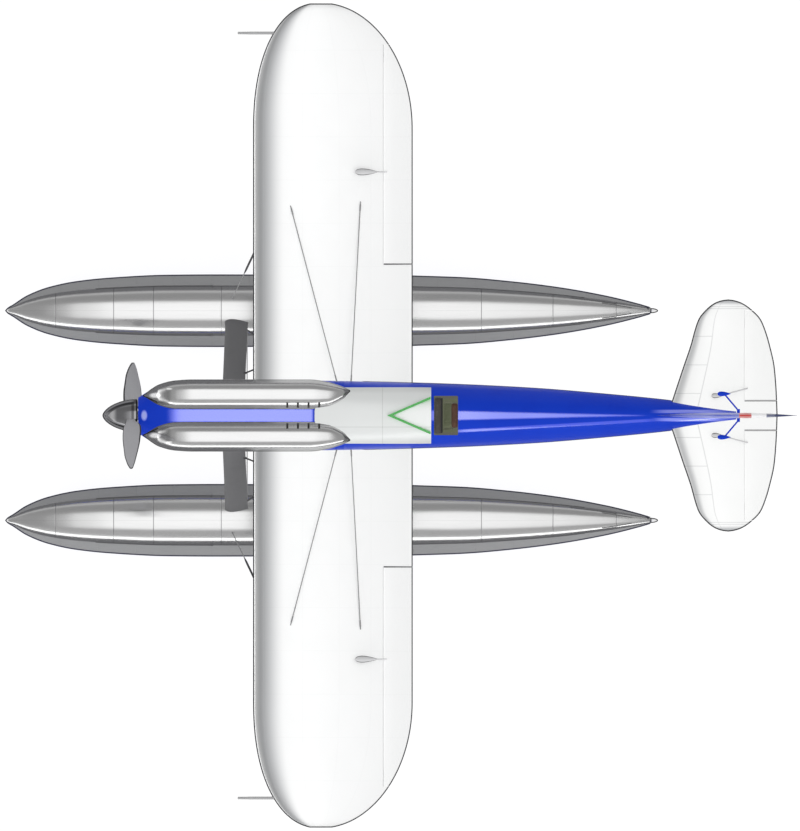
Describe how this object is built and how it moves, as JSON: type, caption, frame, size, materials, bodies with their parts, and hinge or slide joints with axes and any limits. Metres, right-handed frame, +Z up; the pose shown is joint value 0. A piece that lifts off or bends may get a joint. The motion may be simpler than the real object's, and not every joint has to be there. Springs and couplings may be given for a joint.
{
  "type": "racing floatplane",
  "caption": "Low-wing racing floatplane with twin floats, long cylinder-bank fairings, an open cockpit, wire bracing and moving control surfaces.",
  "frame": {"origin": "on the floor below the middle of the bounding box; the aircraft stands on the keels of its floats", "axes": "nose towards -X, starboard wing towards +Y, +Z up"},
  "size_m": [8.7999, 9.145, 3.6147],
  "materials": {
    "blue_paint": "gloss royal blue enamel",
    "polished_alloy": "polished",
    "white_paint": "satin white",
    "strut_grey": "satin dark grey",
    "blade_alloy": "satin forged alloy",
    "dark_steel": "blackened",
    "green_glass": "green tinted",
    "brown_leather": "worn brown",
    "olive_paint": "matt olive",
    "engine_black": "black stove enamel"
  },
  "bodies": {
    "airframe": {"lower_cowl": "blue_paint", "engine_block": "engine_black", "fuselage_centre": "blue_paint", "header_deck": "white_paint", "tail_cone": "blue_paint", "bank_fairing_port": "polished_alloy", "bank_fairing_starboard": "polished_alloy", "exhaust_ports_port": "dark_steel", "exhaust_ports_starboard": "dark_steel", "wing_port": "white_paint", "wing_starboard": "white_paint", "pitot_port": "dark_steel", "pitot_starboard": "dark_steel", "tailplane_port": "white_paint", "tailplane_starboard": "white_paint", "fin": "blue_paint", "float_port": "polished_alloy", "float_starboard": "polished_alloy", "stern_cap_port": "white_paint", "stern_cap_starboard": "white_paint", "front_strut_port": "strut_grey", "front_strut_starboard": "strut_grey", "rear_strut_port": "strut_grey", "rear_strut_starboard": "strut_grey", "landing_wires_port": "dark_steel", "landing_wires_starboard": "dark_steel", "flying_wire_front_port": "dark_steel", "flying_wire_front_starboard": "dark_steel", "flying_wire_rear_port": "dark_steel", "flying_wire_rear_starboard": "dark_steel", "side_wires_port": "dark_steel", "side_wires_starboard": "dark_steel", "spreader_wire_front": "dark_steel", "spreader_wire_rear": "dark_steel", "windscreen_glass": "green_glass", "windscreen_frame": "green_glass", "cockpit_hood": "brown_leather", "cockpit_lining": "olive_paint", "instrument_panel": "dark_steel", "pilot_seat": "brown_leather", "control_stick": "dark_steel"},
    "propeller": {"propeller": "blade_alloy", "spinner": "dark_steel", "propeller_shaft": "dark_steel"},
    "aileron_port": {"aileron_port": "white_paint"},
    "aileron_starboard": {"aileron_starboard": "white_paint"},
    "elevator_port": {"elevator_port": "white_paint"},
    "elevator_starboard": {"elevator_starboard": "white_paint"},
    "rudder": {"rudder": "white_paint"}
  },
  "joints": [
    {"name": "propeller_spin", "type": "hinge", "parent": "airframe", "child": "propeller", "pos_m": [-2.967, 0, 2.28], "axis": [1, 0, 0], "continuous": true},
    {"name": "aileron_port_hinge", "type": "hinge", "parent": "airframe", "child": "aileron_port", "pos_m": [-0.178, -1.681, 1.9287], "axis": [0, 0.9994, -0.0349], "range_deg": [-20, 20]},
    {"name": "aileron_starboard_hinge", "type": "hinge", "parent": "airframe", "child": "aileron_starboard", "pos_m": [-0.178, 1.681, 1.9287], "axis": [0, 0.9994, 0.0349], "range_deg": [-20, 20]},
    {"name": "elevator_port_hinge", "type": "hinge", "parent": "airframe", "child": "elevator_port", "pos_m": [3.822, -0.164, 2.42], "axis": [0, 1, 0], "range_deg": [-20, 15]},
    {"name": "elevator_starboard_hinge", "type": "hinge", "parent": "airframe", "child": "elevator_starboard", "pos_m": [3.822, 0.164, 2.42], "axis": [0, 1, 0], "range_deg": [-20, 15]},
    {"name": "rudder_hinge", "type": "hinge", "parent": "airframe", "child": "rudder", "pos_m": [3.752, 0, 2.6], "axis": [0, 0, 1], "range_deg": [-25, 25]}
  ],
  "couplings": [
    {"joint": "aileron_starboard_hinge", "follows": "aileron_port_hinge", "ratio": -1},
    {"joint": "elevator_starboard_hinge", "follows": "elevator_port_hinge", "ratio": 1}
  ]
}
